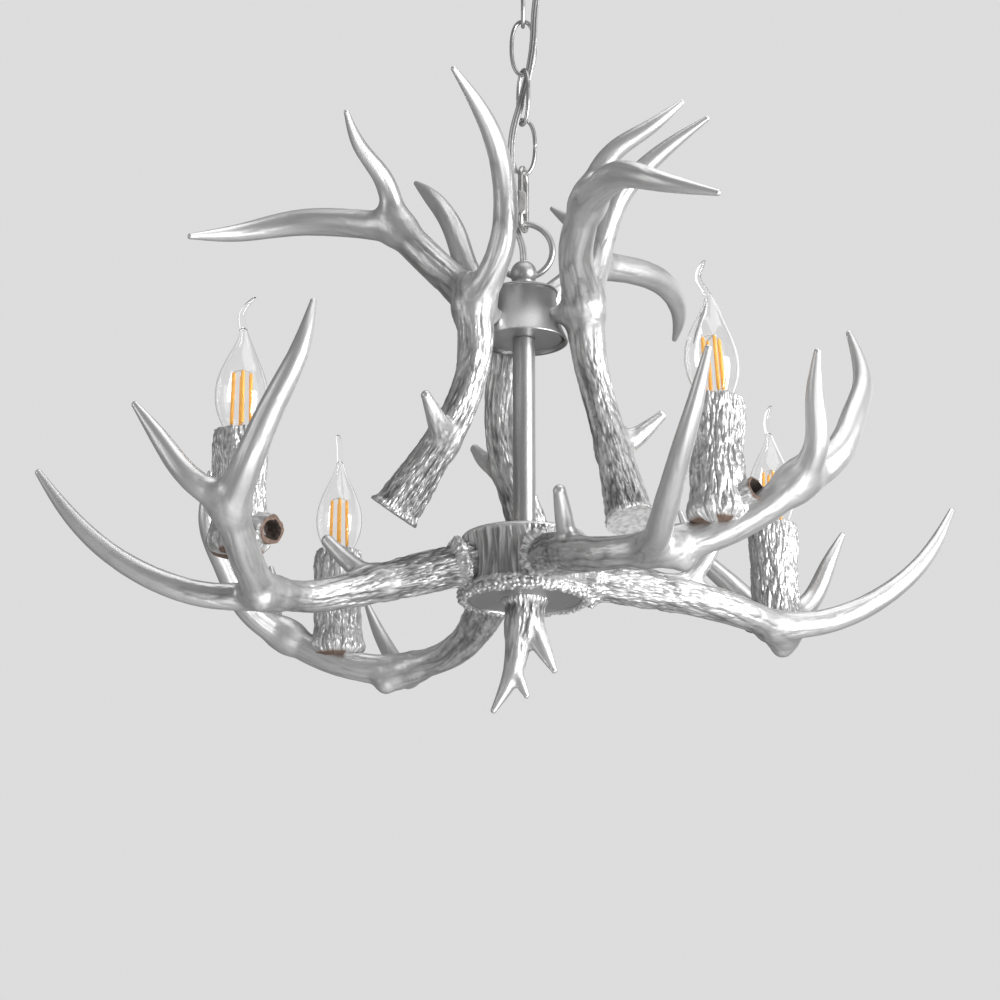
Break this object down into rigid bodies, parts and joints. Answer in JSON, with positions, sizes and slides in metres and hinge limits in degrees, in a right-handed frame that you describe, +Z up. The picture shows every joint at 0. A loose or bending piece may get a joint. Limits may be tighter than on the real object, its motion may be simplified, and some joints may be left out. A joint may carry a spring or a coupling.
{
  "type": "antler chandelier",
  "caption": "Hanging ceiling light of branched antlers round a hub and a cone, with candle holders and flame-tip bulbs, on a chain with a woven cord and a ceiling canopy.",
  "frame": {"origin": "centre of the ceiling crossbar's slots, in the ceiling's plane", "axes": "+Z up, out of the fixture into the ceiling; +X to the right and +Y away when seen from the picture's side"},
  "size_m": [0.6436, 0.6448, 0.6079],
  "materials": {
    "silvered_resin": "cast resin antler, sprayed silver, with rubbed highlights",
    "sand_silver_metal": "fine sand-textured silver paint",
    "chain_steel": "silver-painted steel wire",
    "zinc_steel": "zinc-plated steel",
    "black_plastic": "moulded phenolic",
    "cap_metal": "nickelled brass screw cap",
    "clear_glass": "clear blown glass",
    "led_filament": "amber phosphor-coated strips",
    "cord_jacket": "clear-over-silver flat twin cord"
  },
  "bodies": {
    "ceiling_fitting": {"ceiling_canopy": "sand_silver_metal", "mounting_crossbar": "zinc_steel", "crossbar_screws": "zinc_steel", "canopy_nipple": "zinc_steel", "canopy_loop": "sand_silver_metal", "cord_bushing": "black_plastic", "supply_cord_1": "cord_jacket"},
    "chain_1": {"chain_link_1": "chain_steel", "supply_cord_2": "cord_jacket"},
    "chain_2": {"chain_link_2": "chain_steel", "supply_cord_3": "cord_jacket"},
    "chain_3": {"chain_link_3": "chain_steel", "supply_cord_4": "cord_jacket"},
    "chain_4": {"chain_link_4": "chain_steel", "supply_cord_5": "cord_jacket"},
    "quick_link_body": {"quick_link": "chain_steel", "supply_cord_6": "cord_jacket"},
    "sleeve_nut": {"quick_link_nut": "chain_steel"},
    "ring": {"hanging_ring": "sand_silver_metal"},
    "fixture": {"ball_cap": "sand_silver_metal", "cone_lid": "sand_silver_metal", "cone_shell": "sand_silver_metal", "cone_bottom_cover": "sand_silver_metal", "upper_nipple": "zinc_steel", "centre_rod": "sand_silver_metal", "lower_nipple": "zinc_steel", "nipple_nuts": "zinc_steel", "hub_barrel": "silvered_resin", "hub_bottom_plate": "sand_silver_metal", "pendant_crown": "silvered_resin", "lower_antler_bolts": "zinc_steel", "upper_antler_screws": "zinc_steel", "supply_cord_7": "cord_jacket", "lower_antler_1": "silvered_resin", "lower_antler_2": "silvered_resin", "lower_antler_3": "silvered_resin", "lower_antler_4": "silvered_resin", "upper_antler_1": "silvered_resin", "upper_antler_2": "silvered_resin", "upper_antler_3": "silvered_resin", "candle_cup_1": "silvered_resin", "candle_cup_2": "silvered_resin", "candle_cup_3": "silvered_resin", "candle_cup_4": "silvered_resin", "lampholder_1": "black_plastic", "lampholder_2": "black_plastic", "lampholder_3": "black_plastic", "lampholder_4": "black_plastic"},
    "bulb_1": {"bulb_cap_1": "cap_metal", "bulb_glass_1": "clear_glass", "filaments_1": "led_filament"},
    "bulb_2": {"bulb_cap_2": "cap_metal", "bulb_glass_2": "clear_glass", "filaments_2": "led_filament"},
    "bulb_3": {"bulb_cap_3": "cap_metal", "bulb_glass_3": "clear_glass", "filaments_3": "led_filament"},
    "bulb_4": {"bulb_cap_4": "cap_metal", "bulb_glass_4": "clear_glass", "filaments_4": "led_filament"}
  },
  "joints": [
    {"name": "link_1_swing", "type": "hinge", "parent": "ceiling_fitting", "child": "chain_1", "pos_m": [0, 0, -0.055], "axis": [1, 0, 0], "range_deg": [-15, 15], "deforming": ["supply_cord_1"]},
    {"name": "link_2_swing", "type": "hinge", "parent": "chain_1", "child": "chain_2", "pos_m": [0, 0, -0.0932], "axis": [0, 1, 0], "range_deg": [-15, 15], "deforming": ["supply_cord_2"]},
    {"name": "link_3_swing", "type": "hinge", "parent": "chain_2", "child": "chain_3", "pos_m": [0, 0, -0.1324], "axis": [1, 0, 0], "range_deg": [-15, 15], "deforming": ["supply_cord_3"]},
    {"name": "link_4_swing", "type": "hinge", "parent": "chain_3", "child": "chain_4", "pos_m": [0, 0, -0.1716], "axis": [0, 1, 0], "range_deg": [-15, 15], "deforming": ["supply_cord_4"]},
    {"name": "quick_link_swing", "type": "hinge", "parent": "chain_4", "child": "quick_link_body", "pos_m": [0, 0, -0.2108], "axis": [1, 0, 0], "range_deg": [-15, 15], "deforming": ["supply_cord_5"]},
    {"name": "ring_swing", "type": "hinge", "parent": "quick_link_body", "child": "ring", "pos_m": [0, 0, -0.254], "axis": [0.2588, 0.9659, 0], "range_deg": [-15, 15], "deforming": ["supply_cord_6"]},
    {"name": "fixture_tilt", "type": "hinge", "parent": "ring", "child": "fixture", "pos_m": [0, 0, -0.28945], "axis": [1, 0, 0], "range_deg": [-20, 20], "deforming": ["supply_cord_7"]},
    {"name": "sleeve_nut_travel", "type": "slide", "parent": "quick_link_body", "child": "sleeve_nut", "axis": [0, 0, 1], "range_m": [0, 0.012]},
    {"name": "bulb_1_unscrew", "type": "hinge", "parent": "fixture", "child": "bulb_1", "pos_m": [-0.18679, -0.13242, -0.46258], "axis": [0, 0, 1], "range_deg": [0, 1080]},
    {"name": "bulb_2_unscrew", "type": "hinge", "parent": "fixture", "child": "bulb_2", "pos_m": [0.12051, -0.18612, -0.457], "axis": [0, 0, 1], "range_deg": [0, 1080]},
    {"name": "bulb_3_unscrew", "type": "hinge", "parent": "fixture", "child": "bulb_3", "pos_m": [0.18742, 0.12755, -0.45437], "axis": [0, 0, 1], "range_deg": [0, 1080]},
    {"name": "bulb_4_unscrew", "type": "hinge", "parent": "fixture", "child": "bulb_4", "pos_m": [-0.14087, 0.18602, -0.45927], "axis": [0, 0, 1], "range_deg": [0, 1080]}
  ]
}
